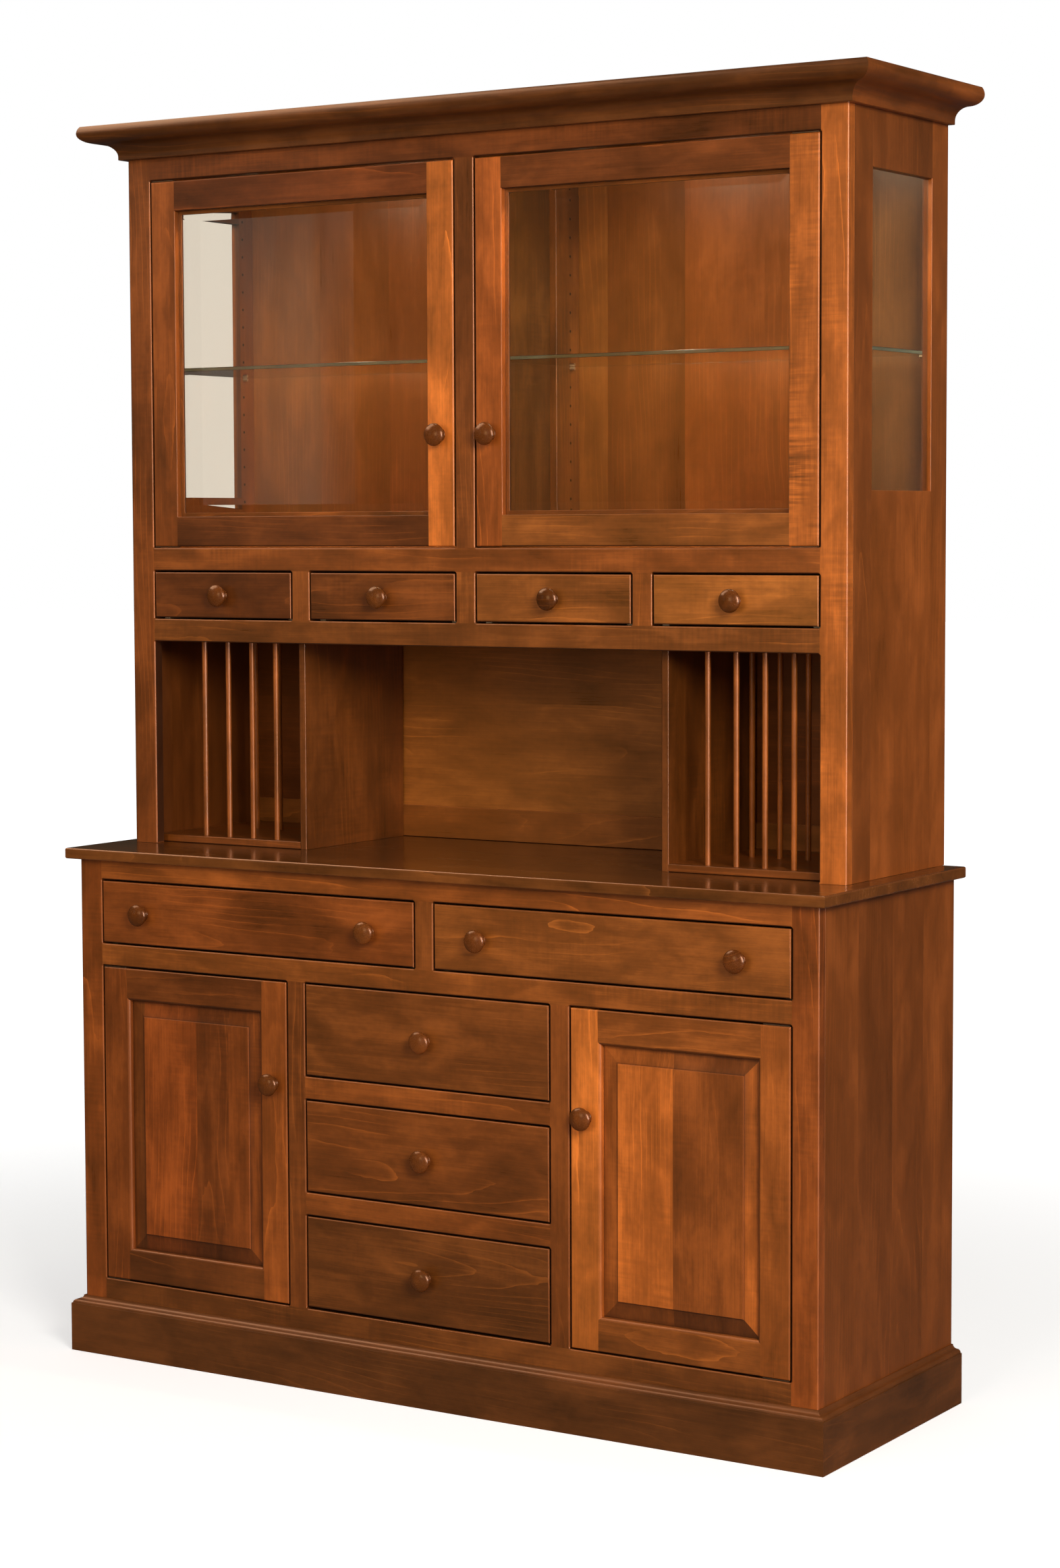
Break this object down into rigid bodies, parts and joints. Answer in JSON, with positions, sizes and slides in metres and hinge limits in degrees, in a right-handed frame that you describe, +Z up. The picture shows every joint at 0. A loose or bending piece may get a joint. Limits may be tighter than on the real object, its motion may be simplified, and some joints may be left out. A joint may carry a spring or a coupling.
{
  "type": "dresser with hutch",
  "caption": "Tall maple dresser: a buffet of drawers and panelled cupboards under a hutch with glazed doors, small drawers, plate racks and an open niche.",
  "frame": {"origin": "on the floor, under the centre of the whole piece's outline seen from above", "axes": "+Z up, +Y from the front to the back, +X to the right as seen from the front"},
  "size_m": [1.538, 0.513, 2.154],
  "materials": {
    "maple": "reddish brown stain under satin lacquer",
    "knob_maple": "reddish brown stain under satin lacquer, turned",
    "plain_maple": "pale wood under clear lacquer",
    "glass": "clear, bevelled on the doors",
    "hinge_steel": "bright"
  },
  "bodies": {
    "case": {"base_top": "maple", "base_face_frame": "maple", "base_side_left": "maple", "base_side_right": "maple", "base_back": "plain_maple", "base_inner_frame": "maple", "plinth": "maple", "hutch_face_frame": "maple", "hutch_side_left": "maple", "hutch_side_right": "maple", "hutch_back": "maple", "crown": "maple", "hutch_inner_frame": "maple", "side_glass_left": "glass", "side_glass_right": "glass", "glass_shelf_left": "glass", "glass_shelf_right": "glass", "plate_rack_left": "maple", "plate_rack_right": "maple", "stemware_rack": "maple", "base_door_left_hinge_upper": "hinge_steel", "base_door_left_hinge_lower": "hinge_steel", "base_door_right_hinge_upper": "hinge_steel", "base_door_right_hinge_lower": "hinge_steel", "hutch_door_left_hinge_upper": "hinge_steel", "hutch_door_left_hinge_lower": "hinge_steel", "hutch_door_right_hinge_upper": "hinge_steel", "hutch_door_right_hinge_lower": "hinge_steel"},
    "base_door_left": {"base_door_left_frame": "maple", "base_door_left_panel": "maple", "base_door_left_knob": "knob_maple"},
    "base_door_right": {"base_door_right_frame": "maple", "base_door_right_panel": "maple", "base_door_right_knob": "knob_maple"},
    "hutch_door_left": {"hutch_door_left_frame": "maple", "hutch_door_left_glass": "glass", "hutch_door_left_knob": "knob_maple"},
    "hutch_door_right": {"hutch_door_right_frame": "maple", "hutch_door_right_glass": "glass", "hutch_door_right_knob": "knob_maple"},
    "wide_drawer_left": {"wide_drawer_left": "maple", "wide_drawer_left_knob_1": "knob_maple", "wide_drawer_left_knob_2": "knob_maple"},
    "wide_drawer_right": {"wide_drawer_right": "maple", "wide_drawer_right_knob_1": "knob_maple", "wide_drawer_right_knob_2": "knob_maple"},
    "middle_drawer_1": {"middle_drawer_1": "maple", "middle_drawer_1_knob": "knob_maple"},
    "middle_drawer_2": {"middle_drawer_2": "maple", "middle_drawer_2_knob": "knob_maple"},
    "middle_drawer_3": {"middle_drawer_3": "maple", "middle_drawer_3_knob": "knob_maple"},
    "small_drawer_1": {"small_drawer_1": "maple", "small_drawer_1_knob": "knob_maple"},
    "small_drawer_2": {"small_drawer_2": "maple", "small_drawer_2_knob": "knob_maple"},
    "small_drawer_3": {"small_drawer_3": "maple", "small_drawer_3_knob": "knob_maple"},
    "small_drawer_4": {"small_drawer_4": "maple", "small_drawer_4_knob": "knob_maple"}
  },
  "joints": [
    {"name": "base_door_left_swing", "type": "hinge", "parent": "case", "child": "base_door_left", "pos_m": [-0.6703, -0.2263, 0.4115], "axis": [0, 0, -1], "range_deg": [0, 110]},
    {"name": "base_door_right_swing", "type": "hinge", "parent": "case", "child": "base_door_right", "pos_m": [0.6703, -0.2263, 0.4115], "axis": [0, 0, 1], "range_deg": [0, 110]},
    {"name": "hutch_door_left_swing", "type": "hinge", "parent": "case", "child": "hutch_door_left", "pos_m": [-0.6493, -0.0963, 1.738], "axis": [0, 0, -1], "range_deg": [0, 110]},
    {"name": "hutch_door_right_swing", "type": "hinge", "parent": "case", "child": "hutch_door_right", "pos_m": [0.6493, -0.0963, 1.738], "axis": [0, 0, 1], "range_deg": [0, 110]},
    {"name": "wide_drawer_left_slide", "type": "slide", "parent": "case", "child": "wide_drawer_left", "axis": [0, -1, 0], "range_m": [0, 0.36]},
    {"name": "wide_drawer_right_slide", "type": "slide", "parent": "case", "child": "wide_drawer_right", "axis": [0, -1, 0], "range_m": [0, 0.36]},
    {"name": "middle_drawer_1_slide", "type": "slide", "parent": "case", "child": "middle_drawer_1", "axis": [0, -1, 0], "range_m": [0, 0.36]},
    {"name": "middle_drawer_2_slide", "type": "slide", "parent": "case", "child": "middle_drawer_2", "axis": [0, -1, 0], "range_m": [0, 0.36]},
    {"name": "middle_drawer_3_slide", "type": "slide", "parent": "case", "child": "middle_drawer_3", "axis": [0, -1, 0], "range_m": [0, 0.36]},
    {"name": "small_drawer_1_slide", "type": "slide", "parent": "case", "child": "small_drawer_1", "axis": [0, -1, 0], "range_m": [0, 0.24]},
    {"name": "small_drawer_2_slide", "type": "slide", "parent": "case", "child": "small_drawer_2", "axis": [0, -1, 0], "range_m": [0, 0.24]},
    {"name": "small_drawer_3_slide", "type": "slide", "parent": "case", "child": "small_drawer_3", "axis": [0, -1, 0], "range_m": [0, 0.24]},
    {"name": "small_drawer_4_slide", "type": "slide", "parent": "case", "child": "small_drawer_4", "axis": [0, -1, 0], "range_m": [0, 0.24]}
  ]
}
